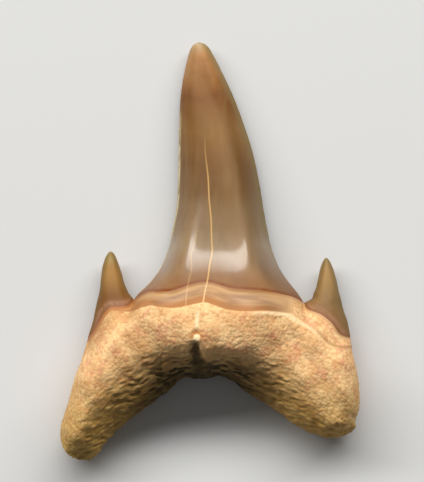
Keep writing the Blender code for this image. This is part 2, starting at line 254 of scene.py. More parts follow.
# %% Distances
# Width of the bare neck between the enameloid and the root's rim, along x
NECK = (
    (-5.20, 0.10), (-3.80, 0.15), (-3.20, 0.28), (-2.60, 0.50), (-1.50, 0.68), (-0.40, 0.80),
    (2.90, 0.77), (3.40, 0.69), (3.70, 0.59), (4.00, 0.58), (4.36, 0.68), (4.70, 0.65),
    (5.20, 0.54), (6.10, 0.34),
)
# A width too small to see, which keeps a division from failing
LEAST = 1e-6


def distance(x, y, line):
    """Distance of each point from a line of short straight pieces: the least of the
    distances from the pieces, each measured to the nearest point of the piece."""
    nearest = np.full(x.shape, np.inf)
    for (ax, ay), (bx, by) in zip(line[:-1], line[1:]):
        dx = bx - ax
        dy = by - ay
        t = np.clip(((x - ax) * dx + (y - ay) * dy) / max(dx * dx + dy * dy, LEAST**2), 0.0, 1.0)
        nearest = np.minimum(nearest, (x - ax - t * dx) ** 2 + (y - ay - t * dy) ** 2)
    return np.sqrt(nearest)


def below_border(x, y):
    """Distance below the enameloid's border, less than 0 above it."""
    level = np.interp(x, border_line[:, 0], border_line[:, 1])
    return np.where(y < level, 1.0, -1.0) * distance(x, y, border_line)


def rounding(gap, reach):
    """Quarter circle: 0 at the edge, 1 at the given reach from it and beyond."""
    return np.sqrt(1 - (1 - np.clip(gap / reach, 0.0, 1.0)) ** 2)


print("neck is", max(width for x, width in NECK), "mm wide at most")

# %% [markdown]
# The hill itself. The main cusp's ridge climbs from the tip to the neck and runs up into
# the swelling of the root. Root and cusps are worked out on their own and blended just
# below the border. The root falls into the arch from further in than it falls to its
# outer edge, most of all on both sides of the groove.

# %% The form
# Heights above the surface that the tooth lies on, along y
MAIN_RIDGE = (
    (8.89, 0.46), (8.84, 0.59), (8.72, 0.74), (8.45, 0.91), (8.00, 1.06), (7.00, 1.26), (5.50, 1.50),
    (4.00, 1.73), (2.50, 1.97), (1.30, 2.17), (0.70, 2.30), (0.20, 2.45), (-0.40, 2.68), (-0.90, 2.91),
    (-1.30, 3.14), (-1.70, 3.40), (-2.40, 3.76), (-4.50, 3.90),
)
SIDE_RIDGE = (
    (-0.04, 0.72), (-0.14, 0.82), (-0.36, 0.96), (-0.80, 1.10), (-1.60, 1.30), (-2.60, 1.62), (-4.20, 2.00),
)
SIDE_FLAT = ((-0.04, 0.58), (-0.60, 0.36), (-1.60, 0.26), (-2.60, 0.38), (-4.20, 0.36))
CUTTING_EDGE = ((8.89, 0.42), (6.00, 0.46), (2.00, 0.52), (-0.50, 0.66), (-2.24, 0.88), (-4.20, 1.00))
FLAT_SIDE = (
    (8.89, 0.30), (7.50, 0.12), (6.20, 0.02), (5.40, -0.03), (3.00, -0.05), (0.60, -0.03), (-0.40, 0.06),
    (-1.60, 0.30), (-2.60, 0.42), (-4.20, 0.36), (-5.60, 0.16), (-6.60, 0.02), (-7.40, -0.05), (-8.89, 0.10),
)
LOBE_TOP = ((-1.20, 2.50), (-3.20, 2.70), (-5.00, 2.85), (-6.40, 2.75), (-7.60, 2.55), (-8.89, 2.20))

# Rounding of the edges, and the side that falls into the arch: x, and how far in it starts
ROOT_EDGE = 1.05
ROOT_ROUNDING = 1.00
CUSP_ROUNDING = 0.04
FLAT_ROUNDING = 0.60
FLAT_FULLNESS = 1.15
ARCH_FALL = (
    (-6.40, 0.95), (-5.20, 1.60), (-4.20, 2.35), (-3.30, 2.60), (-2.40, 2.25), (-1.50, 1.75),
    (0.00, 1.42), (1.50, 1.65), (2.40, 2.10), (3.20, 2.25), (4.00, 1.70), (4.80, 1.00), (6.40, 0.60),
)
ARCH_STEEPNESS = 1.4

# Cross-section of a cusp: share of its height in the rounded body, the rest is in the blade,
# how steep its shoulders are, how flat it is at the tip and at the base and on the side cusps,
# how thin the blade is, where across the base the ridge is, and between which heights the base's
# section takes over from the tip's
BODY = 0.90
BODY_SHOULDER = 1.10
BODY_FLATNESS = (3.0, 5.0)
SIDE_FLATNESS = 2.8
BLADE_FLATNESS = 10
RIDGE_AT = 0.36
BASE_BEGINS = (2.50, -0.50)

# Below the border: where the cusps start to turn into the root, and where they have; unevenness
# of the root's rounded side and of its flat side, which is even again towards the lobes' ends
BLEND = (-0.10, 1.15)
LUMP_HEIGHT = 0.10
FLAT_LUMP = 0.05
FLAT_LUMPS_AT = (-7.00, -5.00)

# Swelling of the root under the main cusp: place, reach, height and steepness of its sides
BULGE_AT = (-0.05, -3.15)
BULGE_REACH = (2.60, 1.75)
BULGE_HEIGHT = 1.55
BULGE_STEEPNESS = 1.40

# How far the neck is sunk, and the distances from the enameloid and from the rim between
# which it sinks and rises again
NECK_SINK = 0.05
NECK_START = (-0.04, 0.20)
NECK_END = (-0.10, 0.12)

# Nutrient groove: y, x, depth and half-width down its middle; the heights between which it
# starts; the place, depth and reach of the pit at its head
GROOVE = (
    (-2.60, -0.49, 0.03, 0.09), (-3.40, -0.54, 0.06, 0.11), (-3.72, -0.56, 0.12, 0.15),
    (-3.95, -0.57, 0.46, 0.19), (-4.40, -0.53, 0.60, 0.25), (-5.00, -0.42, 0.46, 0.32),
    (-5.60, -0.40, 0.20, 0.40),
)
GROOVE_START = (-2.50, -2.75)
PIT = (-0.55, -3.42, 0.12, 0.16)


def cusp_fullness(cusp, x, y, flatness, ridge_at):
    """1 on the ridge of a cusp and 0 at its edges: a rounded body, nine tenths of the
    height, on a thin blade that falls to the cutting edge."""
    left, right = cusp_sides(cusp, y)
    ridge = left + (right - left) * ridge_at
    width = np.maximum(np.where(x < ridge, ridge - left, right - ridge), LEAST)
    side = np.clip(np.abs(x - ridge) / width, 0.0, 1.0)
    return BODY * (1 - side**flatness) ** BODY_SHOULDER + (1 - BODY) * (1 - side**BLADE_FLATNESS)


def lumps(x, y):
    """Broad, shallow unevenness of the root, a sum of sine waves in several directions."""
    return (
        0.50 * np.sin(2.1 * x + 1.3 * y + 0.4) * np.sin(1.7 * y - 0.8 * x + 1.1)
        + 0.35 * np.sin(3.7 * x - 2.2 * y + 2.0) * np.sin(2.9 * y + 1.6 * x)
        + 0.25 * np.sin(5.3 * x + 3.9 * y + 0.7)
    )


def heights(x, y):
    """Heights of the upper and the lower sheet. Upper: edge height plus what rises above
    it, times the rounding near the outline. Lower: edge height less the drop to the flat
    side, times a rounding on a shorter reach."""
    below = below_border(x, y)
    root = step(*BLEND, below)
    rim = curve(x, NECK)
    outer_gap = distance(x, y, outer_line)
    arch_gap = distance(x, y, arch_line)
    edge = (1 - root) * curve(y, CUTTING_EDGE) + root * ROOT_EDGE
    low = step(*BASE_BEGINS, y)
    flatness = BODY_FLATNESS[0] + (BODY_FLATNESS[1] - BODY_FLATNESS[0]) * low
    main = cusp_fullness(MAIN_CUSP, x, y, flatness, 0.5 + (RIDGE_AT - 0.5) * low)
    left = cusp_fullness(LEFT_CUSP, x, y, SIDE_FLATNESS, 0.5)
    right = cusp_fullness(RIGHT_CUSP, x, y, SIDE_FLATNESS, 0.5)
    side = np.where(y < 0.0, np.maximum(left, right), 0.0)

    cusp_top = edge + np.maximum((curve(y, MAIN_RIDGE) - edge) * main, (curve(y, SIDE_RIDGE) - edge) * side)
    from_bulge = ((x - BULGE_AT[0]) / BULGE_REACH[0]) ** 2 + ((y - BULGE_AT[1]) / BULGE_REACH[1]) ** 2
    root_top = curve(y, LOBE_TOP) + LUMP_HEIGHT * lumps(x, y)
    root_top = root_top + BULGE_HEIGHT * np.exp(-(from_bulge**BULGE_STEEPNESS))
    groove = curve(y, GROOVE)
    in_groove = np.exp(-(((x - groove[..., 0]) / groove[..., 2]) ** 2))
    root_top = root_top - groove[..., 1] * in_groove * step(*GROOVE_START, y)
    root_top = root_top - PIT[2] * np.exp(-(((x - PIT[0]) ** 2 + (y - PIT[1]) ** 2) / PIT[3] ** 2))
    top = (1 - root) * cusp_top + root * root_top
    top = top - NECK_SINK * step(*NECK_START, below) * (1 - step(*NECK_END, below - rim))

    outer_reach = CUSP_ROUNDING + (ROOT_ROUNDING - CUSP_ROUNDING) * root
    arch_reach = CUSP_ROUNDING + (curve(x, ARCH_FALL) - CUSP_ROUNDING) * root
    round_top = rounding(outer_gap, outer_reach) * rounding(arch_gap, arch_reach) ** ARCH_STEEPNESS
    round_flat = rounding(np.minimum(outer_gap, arch_gap), FLAT_ROUNDING * outer_reach)
    upper = edge + np.maximum(top - edge, 0.0) * round_top
    fullness = (1 - root) * np.clip(FLAT_FULLNESS * np.maximum(main, side), 0.0, 1.0) + root
    floor = (1 - root) * np.where(side > main, curve(y, SIDE_FLAT), curve(y, FLAT_SIDE))
    floor = floor + root * (curve(y, FLAT_SIDE) + FLAT_LUMP * step(*FLAT_LUMPS_AT, y) * lumps(y, x))
    floor = np.maximum(floor, 0.0)
    lower = edge - (edge - floor) * fullness * round_flat
    return upper, lower


print("the ridge climbs to", max(z for y, z in MAIN_RIDGE), "mm, the lobes to", max(z for y, z in LOBE_TOP))

# %% [markdown]
# Both sheets of all four patches become one mesh. Points that fall together are welded,
# so the finished skin has no open edge.

# %% The skin
# Points closer together than this are one point
WELD = 0.0004


def grid_faces(rows, columns, first, up):
    """Quads of a grid whose points count along the rows, wound to face up or down."""
    corner = first + np.arange(rows)[:, None] * (columns + 1) + np.arange(columns)
    above = corner + columns + 1
    quads = np.stack([corner, corner + 1, above + 1, above], axis=-1).reshape(-1, 4)
    return quads if up else quads[:, ::-1]


def skin_from_patches(name):
    """One closed mesh, in millimetres: both sheets of every patch, welded where they meet.
    Faces of the cusps get material 0 and faces of the root band material 1."""
    points = []
    faces = []
    finish = []
    count = 0
    for number, (sheet, patches) in enumerate(sheets.items()):
        for place, (x, y) in enumerate(patches):
            z = heights(x, y)[number]
            points.append(np.column_stack([x.ravel(), y.ravel(), z.ravel()]))
            quads = grid_faces(x.shape[0] - 1, x.shape[1] - 1, count, sheet == "upper")
            faces.append(quads)
            finish.append(np.full(len(quads), 1 if place == len(cusp_patches) else 0))
            count += x.size
    mesh = bpy.data.meshes.new(name)
    mesh.from_pydata(np.concatenate(points).tolist(), [], np.concatenate(faces).tolist())
    mesh.polygons.foreach_set("material_index", np.concatenate(finish).astype(np.int32))
    work = bmesh.new()
    work.from_mesh(mesh)
    bmesh.ops.remove_doubles(work, verts=work.verts, dist=WELD)
    bmesh.ops.dissolve_degenerate(work, edges=work.edges, dist=WELD)
    open_edges = sum(1 for edge in work.edges if not edge.is_manifold)
    work.to_mesh(mesh)
    work.free()
    print(name, "has", len(mesh.polygons), "faces and", open_edges, "open edges")
    return mesh


skin = skin_from_patches("tooth_skin")

# %% [markdown]
# The fine relief. A real root is bone-like tissue full of tiny pores, so its face is a
# mass of rounded grains 0.15 to 0.25 mm across, and on the side that falls into the arch
# they are drawn out into slanting rows with gaps between them. It could be left to a bump
# texture, but the grains show in the outline and in grazing light, so the points really
# move, each along its own normal. The enameloid stays smooth, with a hint of long waves.

# %% Two kinds of noise
def corners(low, high):
    """All whole-number steps from low to high in x, y and z, as rows of 3."""
    steps = np.arange(low, high + 1)
    return np.stack(np.meshgrid(steps, steps, steps), axis=-1).reshape(-1, 3)


def noise(points, size, seed):
    """Smooth random values from -1 to 1: fixed random numbers on a lattice of cells of
    the given size, mixed between the 8 corners of a cell by 6t^5 - 15t^4 + 10t^3."""
    cell = points / np.asarray(size)
    base = np.floor(cell).astype(int)
    part = cell - base
    part = part**3 * (part * (part * 6 - 15) + 10)
    base = base - base.min(axis=0)
    table = np.random.default_rng(seed).uniform(-1.0, 1.0, tuple(base.max(axis=0) + 2))
    total = np.zeros(len(points))
    for corner in corners(0, 1):
        weight = np.prod(np.where(corner, part, 1 - part), axis=1)
        total += weight * table[tuple((base + corner).T)]
    return total


def granules(points, size, seed):
    """Rounded grains: 1 at the middle of a grain, and less than 0 in the gaps. One middle
    lies at a random place in each cell of a lattice, and the value is 1 - 2.2d^2, where d
    is the distance to the nearest middle in cells."""
    cell = points / np.asarray(size)
    base = np.floor(cell).astype(int)
    part = cell - base
    base = base - base.min(axis=0) + 1
    places = np.random.default_rng(seed).uniform(0.1, 0.9, (*(base.max(axis=0) + 2), 3))
    nearest = np.full(len(points), np.inf)
    for corner in corners(-1, 1):
        middle = places[tuple((base + corner).T)] + corner
        nearest = np.minimum(nearest, ((middle - part) ** 2).sum(axis=1))
    return np.clip(1 - 2.2 * nearest, -0.6, 1.0)


print("a cell of the lattice has", len(corners(0, 1)), "corners")

# %% [markdown]
# Each kind gets its size and its depth. The rows bend with the arch: a point is looked up
# higher the further it is from the middle. Hollows are kept as a share, for the silt.

# %% The grain
# Sizes: of a grain, of a lump in a row along x, y and z, of the finest grains and of the swells
GRANULE = 0.20
ROW = (0.30, 0.100, 0.26)
FINE_GRAIN = 0.09
SWELL = 0.70
# Their depths, and the range of relief over which a hollow fills with silt
GRANULE_DEPTH = 0.018
ROW_DEPTH = 0.048
FINE_DEPTH = 0.009
SWELL_DEPTH = 0.012
HOLLOW_RANGE = 0.10
# How much the rows climb towards the middle, and how far and over what length they wander
LEAN = 0.26
WANDER = 0.10
WANDER_SIZE = 0.6
# Beads of the cutting edges and long waves of the crown: size along x, y and z, and depth
BEAD = (0.5, 0.22, 0.5)
BEAD_DEPTH = 0.010
WAVE = (0.4, 2.5, 0.6)
WAVE_DEPTH = 0.003
# Heights between which the relief starts, so that the resting spots stay flat
RESTING = (0.02, 0.12)


def read_vectors(collection, field):
    """A mesh's vectors, such as its points or normals, as one array of rows of 3."""
    flat = np.empty(len(collection) * 3)
    collection.foreach_get(field, flat)
    return flat.reshape(-1, 3)


point = read_vectors(skin.vertices, "co")
normal = read_vectors(skin.vertex_normals, "vector")
px, py, pz = point.T
below = below_border(px, py)
rim = below - curve(px, NECK)
arch_gap = distance(px, py, arch_line)
outer_gap = distance(px, py, outer_line)
upward = step(-0.35, 0.35, normal[:, 2])

# The rim fades out under the right side cusp, where the neck is as grainy as the root
grainy = np.maximum(step(-0.03, 0.10, rim), step(3.0, 4.1, px) * step(0.04, 0.16, below))
into_arch = arch_gap / curve(px, ARCH_FALL)
in_rows = step(1.05, 0.45, into_arch) * upward
bent_y = py + LEAN * np.abs(px) + WANDER * noise(point, WANDER_SIZE, 11)
bent = np.column_stack([px, bent_y, pz])
relief = (
    GRANULE_DEPTH * (1 - 0.6 * in_rows) * granules(point, GRANULE, 1)
    + ROW_DEPTH * in_rows * noise(bent, ROW, 3)
    + FINE_DEPTH * noise(point, FINE_GRAIN, 2)
)
hollow = np.clip(0.5 - relief / HOLLOW_RANGE, 0.0, 1.0)
relief = relief - 0.35 * GRANULE_DEPTH + SWELL_DEPTH * noise(point, SWELL, 4)
blade = step(0.14, 0.03, outer_gap) * (1 - step(-0.10, 0.05, below))
bead = BEAD_DEPTH * noise(point, BEAD, 5) * blade
lift = relief * grainy + bead + WAVE_DEPTH * noise(point, WAVE, 6)
point = point + normal * (lift * step(*RESTING, pz))[:, None]
print("relief in mm:", round(relief.min(), 3), "to", round(relief.max(), 3))

# %% [markdown]
# The skin is now fitted into the frame and given the numbers that its colours follow.
# They are stored on the points as attributes, in millimetres: the distance below the
# enameloid's border, from the rim, from each cutting edge and from each crack. The way
# into the arch is a share, 0 at its edge and 1 where the root starts to fall. A signed
# distance stays sharp between two points, so a crack can be finer than the mesh.

# %% The tooth
# Cracks in the crown, from the top down, as x and y
LONG_CRACK = (
    (-0.19, 5.21), (-0.17, 4.28), (-0.04, 3.05), (0.0, 2.20), (0.08, 1.35),
    (0.11, 0.38), (0.13, 0.0), (0.02, -0.60), (-0.06, -1.19), (-0.17, -1.69), (-0.25, -2.14),
)
FAINT_CRACK = (
    (-0.49, 1.95), (-0.51, 1.35), (-0.59, 0.38), (-0.74, -0.08), (-0.74, -0.80),
    (-0.85, -1.23), (-0.91, -1.57), (-0.97, -2.07),
)
# A near-white spot in the pit at the head of the groove
PALE_SPOT = (-0.55, -3.61)


def store(mesh, name, values):
    """One number for each point of the mesh, for a material to read by name."""
    mesh.attributes.new(name, "FLOAT", "POINT").data.foreach_set("value", values.astype(np.float32))


def beside(crack):
    """Signed distance across a crack that runs down the tooth: x less the crack's x there."""
    return px - curve(py, [(y, x) for x, y in crack])


low, high = (np.array(corner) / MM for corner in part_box("tooth"))
middle = 0.5 * (point.min(axis=0) + point.max(axis=0))
shift = 0.5 * (low + high) - middle
shift[2] = -point[:, 2].min()
point = point + shift
skin.vertices.foreach_set("co", (point * MM).ravel())
left_edge, right_edge = cusp_sides(MAIN_CUSP, py)
store(skin, "below", below)
store(skin, "rim", rim)
store(skin, "grainy", grainy)
store(skin, "into_arch", into_arch)
store(skin, "outer", outer_gap)
store(skin, "upward", upward)
store(skin, "above_edge", pz - curve(py, CUTTING_EDGE))
store(skin, "hollow", hollow)
store(skin, "from_left", px - left_edge)
store(skin, "from_right", right_edge - px)
store(skin, "side_cusp", ((px < NOTCHES[0]) | (px > NOTCHES[1])).astype(float))
store(skin, "long_crack", beside(LONG_CRACK))
store(skin, "faint_crack", beside(FAINT_CRACK))
store(skin, "groove", px - curve(py, GROOVE)[..., 0])
store(skin, "pale_spot", np.hypot(px - PALE_SPOT[0], py - PALE_SPOT[1]))
skin.shade_smooth()
skin.update()

tooth = bpy.data.objects.new("fossil_tooth", skin)
bpy.context.scene.collection.objects.link(tooth)
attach(tooth, "root")
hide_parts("tooth")
print("tooth box in mm:", np.round(point.min(axis=0), 2), np.round(point.max(axis=0), 2))

# %% [markdown]
# Materials are small graphs of nodes. One function turns a hex colour, which is how a
# colour is read off a screen, into the linear numbers that a shader adds and multiplies.
# Another adds a node with its settings and links and gives back its output, so that a
# graph reads like a formula. A map range turns its second and third value into its
# fourth and fifth, or into 0 and 1. A mix of colours goes from input 6 to input 7 by
# the share in input 0, and a math node with no operation named adds.

# %% Helpers for materials
SMOOTH = {"interpolation_type": "SMOOTHSTEP"}
TIMES = {"operation": "MULTIPLY"}
COLOUR = {"data_type": "RGBA", "out": 2}


def linear(code):
    """sRGB hex to linear red, green, blue and full alpha, by the sRGB curve."""
    value = np.array([int(code[k:k + 2], 16) for k in (0, 2, 4)]) / 255
    return (*np.where(value <= 0.04045, value / 12.92, ((value + 0.055) / 1.055) ** 2.4), 1.0)


def add(tree, kind, inputs=(), out=0, **settings):
    """Add a node. Its inputs, by name or in order, are linked if given an output of another
    node, turned linear if given a hex colour, and else set. Gives back output number out."""
    node = tree.nodes.new("ShaderNode" + kind)
    for name, value in settings.items():
        setattr(node, name, value)
    for name, value in (inputs.items() if isinstance(inputs, dict) else enumerate(inputs)):
        if isinstance(value, bpy.types.NodeSocket):
            tree.links.new(value, node.inputs[name])
        else:
            node.inputs[name].default_value = linear(value) if isinstance(value, str) else value
    return node.outputs[out] if node.outputs else node


def new_material(name):
    """An empty material: the function that adds nodes to it, and the place on the tooth in
    millimetres, with its height."""
    material = bpy.data.materials.new(name)
    material.use_nodes = True
    material.node_tree.nodes.clear()
    put = partial(add, material.node_tree)
    to_mm = (1 / MM, 1 / MM, 1 / MM)
    place = put("Mapping", {"Vector": put("TexCoord", out=3), "Scale": to_mm})
    return material, put, place, put("SeparateXYZ", [place], out=1)


print("white is", linear("FFFFFF"))

# %% [markdown]
# Enameloid is a skin of apatite crystals, the mineral of all teeth, dense and a little
# translucent, with a refractive index near 1.63. It is brown from the minerals that it
# took up, and the brown shifts along the crown: cream at the tip, orange-brown below it,
# grey-brown lower down and a reddish line where it ends. Near its base it kept a clear
# polish, drawn as a thin coat that fades towards the worn tip. Long streaks follow the
# growth of the tooth, and two cracks are filled with pale mineral.

# %% Fossil enameloid
# Share of the way from the border to the tip, and the colour there
CROWN_COLOURS = (
    (0.00, "855B33"), (0.10, "896441"), (0.22, "8C7453"), (0.32, "826849"), (0.42, "755530"),
    (0.52, "714C25"), (0.66, "865F2C"), (0.78, "744204"), (0.86, "8C5A24"), (0.92, "A87642"),
    (0.97, "AA885E"), (1.00, "B6A688"),
)
# Width of a streak, and half-width of a crack's full colour and of its soft edge
STREAK = 0.42
CRACK = (0.017, 0.045)

enameloid, put, place, height = new_material("fossil_enameloid")
below_it = put("Attribute", out=2, attribute_name="below")
from_right = put("Attribute", out=2, attribute_name="from_right")
from_left = put("Attribute", out=2, attribute_name="from_left")

wander = put("TexNoise", {"Vector": place, "Scale": 0.9, "Detail": 2.0})
wander = put("MapRange", (wander, 0.3, 0.7, -0.35, 0.35))
share = put("MapRange", (put("Math", (height, wander)), -2.2, 8.9))
crown = put("ValToRGB", [share])
stops = crown.node.color_ramp.elements
for position, code in CROWN_COLOURS[1:-1]:
    stops.new(position).color = linear(code)
stops[0].color = linear(CROWN_COLOURS[0][1])
stops[-1].color = linear(CROWN_COLOURS[-1][1])

stretched = put("Mapping", {"Vector": place, "Scale": (1.0, 0.09, 1.0)})
streak = put("TexNoise", {"Vector": stretched, "Scale": 1 / STREAK, "Detail": 3.0})
dark_streak = put("MapRange", (streak, 0.45, 0.75, 0.0, 0.28), **SMOOTH)
crown = put("Mix", {0: dark_streak, 6: crown, 7: "6C5232"}, **COLOUR)
pale_streak = put("MapRange", (streak, 0.52, 0.30, 0.0, 0.22), **SMOOTH)
crown = put("Mix", {0: pale_streak, 6: crown, 7: "9A7E54"}, **COLOUR)
print("the crown runs through", len(CROWN_COLOURS), "colours")

# %% [markdown]
# Across the crown the colour changes too. The blade is thin at the edges, so light comes
# through it and it looks olive, and a pale worn line runs along the left one.

# %% Edges of the crown
# Right side, from the middle out: a pale flank of painted light, a dark band and the thin olive edge, and
# a darker foot
band = put("Math", (put("MapRange", (from_right, 0.30, 0.52), **SMOOTH),
                    put("MapRange", (from_right, 1.10, 0.65), **SMOOTH)), **TIMES)
band = put("Math", (band, put("MapRange", (height, 7.6, 4.0, 0.0, 0.30), **SMOOTH)), **TIMES)
crown = put("Mix", {0: band, 6: crown, 7: "66481E"}, **COLOUR)
# Painted light: the right half made lighter, as the lamp stands to the left
painted_light_flank = put("Math", (put("MapRange", (from_right, 2.2, 1.3, 0.0, 0.25), **SMOOTH),
                     put("MapRange", (from_right, 0.7, 1.1), **SMOOTH)), **TIMES)
crown = put("Mix", {0: painted_light_flank, 6: crown, 7: "A8845C"}, **COLOUR)
edge = put("Math", (put("MapRange", (from_right, 0.34, 0.08, 0.0, 0.60), **SMOOTH),
                    put("MapRange", (height, -1.5, 1.5), **SMOOTH)), **TIMES)
crown = put("Mix", {0: edge, 6: crown, 7: "7C6A34"}, **COLOUR)
low_right = put("Math", (put("MapRange", (from_right, 1.40, 0.50, 0.0, 0.45), **SMOOTH),
                         put("MapRange", (height, 0.3, -1.0), **SMOOTH)), **TIMES)
crown = put("Mix", {0: low_right, 6: crown, 7: "66481C"}, **COLOUR)

# Left side: a pale line of worn mineral along the cutting edge
worn = put("TexNoise", {"Vector": place, "Scale": 2.2, "Detail": 2.0})
worn = put("Math", (put("MapRange", (worn, 0.35, 0.6, 0.4, 1.0), **SMOOTH),
                    put("MapRange", (from_left, 0.16, 0.10), **SMOOTH)), **TIMES)
above_edge = put("Attribute", out=2, attribute_name="above_edge")
worn = put("Math", (worn, put("MapRange", (above_edge, 0.24, 0.12), **SMOOTH)), **TIMES)
worn = put("Math", (worn, put("MapRange", (height, 6.6, 4.6), **SMOOTH)), **TIMES)
facing_up = put("Attribute", out=2, attribute_name="upward")
worn = put("Math", (worn, put("MapRange", (facing_up, 0.0, 0.4))), **TIMES)
crown = put("Mix", {0: worn, 6: crown, 7: "D0C294"}, **COLOUR)
print("enameloid has", len(enameloid.node_tree.nodes), "nodes so far")

# %% [markdown]
# The side cusps are thin and golden brown, so they get colours of their own. The border
# is the edge of the enameloid, and it is drawn by the distance from it.

# %% Side cusps and border
# Side cusps: golden brown, olive along the edges, mauve where they meet the root
mottle = put("TexNoise", {"Vector": place, "Scale": 3.0, "Detail": 3.0})
gold = put("Mix", {0: put("MapRange", (height, -2.1, -1.0), **SMOOTH), 6: "70460A", 7: "9E743A"}, **COLOUR)
gold = put("Mix", {0: put("MapRange", (height, -0.8, -0.2), **SMOOTH), 6: gold, 7: "96804C"}, **COLOUR)
sideways = put("SeparateXYZ", [place], out=0)
gold = put("Mix", {0: put("MapRange", (sideways, 0.0, 1.0, 0.0, 0.40)), 6: gold, 7: "A08A5E"}, **COLOUR)
outer = put("Attribute", out=2, attribute_name="outer")
olive = put("MapRange", (outer, 0.24, 0.05, 0.0, 0.50), **SMOOTH)
gold = put("Mix", {0: olive, 6: gold, 7: "6A5420"}, **COLOUR)
mauve = put("Math", (put("MapRange", (below_it, -0.36, -0.14, 0.0, 0.90), **SMOOTH),
                     put("MapRange", (mottle, 0.40, 0.52, 0.40, 1.0), **SMOOTH)), **TIMES)
mauve = put("Math", (mauve, put("MapRange", (outer, 0.05, 0.20), **SMOOTH)), **TIMES)
gold = put("Mix", {0: mauve, 6: gold, 7: "AC8468"}, **COLOUR)
side_cusp = put("Attribute", out=2, attribute_name="side_cusp")
crown = put("Mix", {0: side_cusp, 6: crown, 7: gold}, **COLOUR)

# The border, reddish brown and broken here and there
red = put("Math", (put("MapRange", (below_it, -0.17, -0.05), **SMOOTH),
                   put("MapRange", (mottle, 0.30, 0.60, 0.65, 1.0), **SMOOTH)), **TIMES)
red = put("Math", (red, put("MapRange", (side_cusp, 0.0, 1.0, 1.0, 0.55))), **TIMES)
near_border = put("MapRange", (below_it, -0.8, -0.15, 0.0, 0.45), **SMOOTH)
crown = put("Mix", {0: near_border, 6: crown, 7: "84562A"}, **COLOUR)
crown = put("Mix", {0: red, 6: crown, 7: "7A3E0A"}, **COLOUR)
print("enameloid has", len(enameloid.node_tree.nodes), "nodes so far")

# %% [markdown]
# Last come the two cracks and the finish. The roughness and the weight of the coat vary
# over the tooth, and the other numbers of the shader are the same everywhere.

# %% Cracks and polish
# Cracks: the long one grows clearer downwards, the other shows only near the base
long_gap = put("Math", [put("Attribute", out=2, attribute_name="long_crack")], operation="ABSOLUTE")
faint_gap = put("Math", [put("Attribute", out=2, attribute_name="faint_crack")], operation="ABSOLUTE")
long_line = put("Math", (put("MapRange", (long_gap, *CRACK, 1.0, 0.0), **SMOOTH),
                         put("MapRange", (height, 5.3, 2.6, 0.0, 0.75), **SMOOTH)), **TIMES)
faint_line = put("Math", (put("MapRange", (faint_gap, *CRACK, 1.0, 0.0), **SMOOTH),
                          put("MapRange", (height, 1.6, 0.2, 0.0, 0.25), **SMOOTH)), **TIMES)
cracks = put("Math", (long_line, faint_line), operation="MAXIMUM")
cracks = put("Math", (cracks, facing_up), **TIMES)
crown = put("Mix", {0: cracks, 6: crown, 7: "D4A868"}, **COLOUR)

# A polish at the foot of the main cusp, and duller side cusps and tip
polish = put("Math", (put("MapRange", (height, 1.0, 0.2), **SMOOTH),
                      put("MapRange", (below_it, -0.20, -1.35), **SMOOTH)), **TIMES)
polish = put("Math", (polish, put("MapRange", (streak, 0.36, 0.58, 0.85, 1.0), **SMOOTH)), **TIMES)
polish = put("Math", (polish, put("MapRange", (side_cusp, 0.0, 1.0, 0.70, 0.0))), **TIMES)
dull = put("TexNoise", {"Vector": place, "Scale": 1.4, "Detail": 3.0})
dull = put("MapRange", (dull, 0.3, 0.7, 0.38, 0.45))
dull = put("Math", (dull, put("MapRange", (height, 2.0, 7.0, 0.0, 0.10), **SMOOTH)))
dull = put("Math", (dull, put("MapRange", (side_cusp, 0.0, 1.0, 0.0, 0.12))))
fine = put("TexNoise", {"Vector": place, "Scale": 8.0, "Detail": 3.0})
fine = put("Bump", {"Strength": 0.15, "Distance": 0.02 * MM, "Height": fine})
cut = put("Bump", {"Strength": 0.3, "Distance": 0.02 * MM, "Height": cracks, "Normal": fine}, invert=True)
shader = put("BsdfPrincipled", {
    "Base Color": crown, "Roughness": dull, "Normal": cut, "IOR": 1.63, "Specular IOR Level": 0.20,
    "Coat Weight": polish, "Coat Roughness": 0.12,
    "Subsurface Weight": 0.12, "Subsurface Radius": (1.0, 0.55, 0.30), "Subsurface Scale": 0.35 * MM,
})
put("OutputMaterial", {"Surface": shader})
tooth.data.materials.append(enameloid)
print("enameloid has", len(enameloid.node_tree.nodes), "nodes")

# %% [markdown]
# The root and the neck are dentine, softer and more porous than enameloid. On the neck
# it is dense and half matt. On the root it is open grained and quite matt: cream, pink
# and ochre on the grains, with brown silt left between them, and darker on the side that
# falls into the arch, partly from a stain and partly from painted shade. The stored relief
# says where a hollow is, so the silt lies where real silt would, and a second, finer set
# of grains is drawn as a bump.

# %% Fossil root dentine
# Size of a grain in the bump, coarser than the finest real ones, which wouldn't show
FINE_CELL = 0.13

dentine, put, place, height = new_material("fossil_root_dentine")
below_it = put("Attribute", out=2, attribute_name="below")
rim_gap = put("Attribute", out=2, attribute_name="rim")
arch = put("Attribute", out=2, attribute_name="into_arch")
hollows = put("Attribute", out=2, attribute_name="hollow")
facing_up = put("Attribute", out=2, attribute_name="upward")
across = put("SeparateXYZ", [place], out=0)

# Grains finer than the mesh, in slanting rows near the arch
slant = put("Math", (put("Math", [across], operation="ABSOLUTE"), LEAN), **TIMES)
slanted = put("CombineXYZ", (put("Math", (across, 0.55), **TIMES), put("Math", (height, slant)), 0.0))
loose = put("TexVoronoi", {"Vector": place, "Scale": 1 / FINE_CELL})
rows = put("TexVoronoi", {"Vector": slanted, "Scale": 1 / FINE_CELL})
near_arch = put("MapRange", (arch, 1.0, 0.35), **SMOOTH)
cells = put("Mix", {0: near_arch, 2: loose, 3: rows})

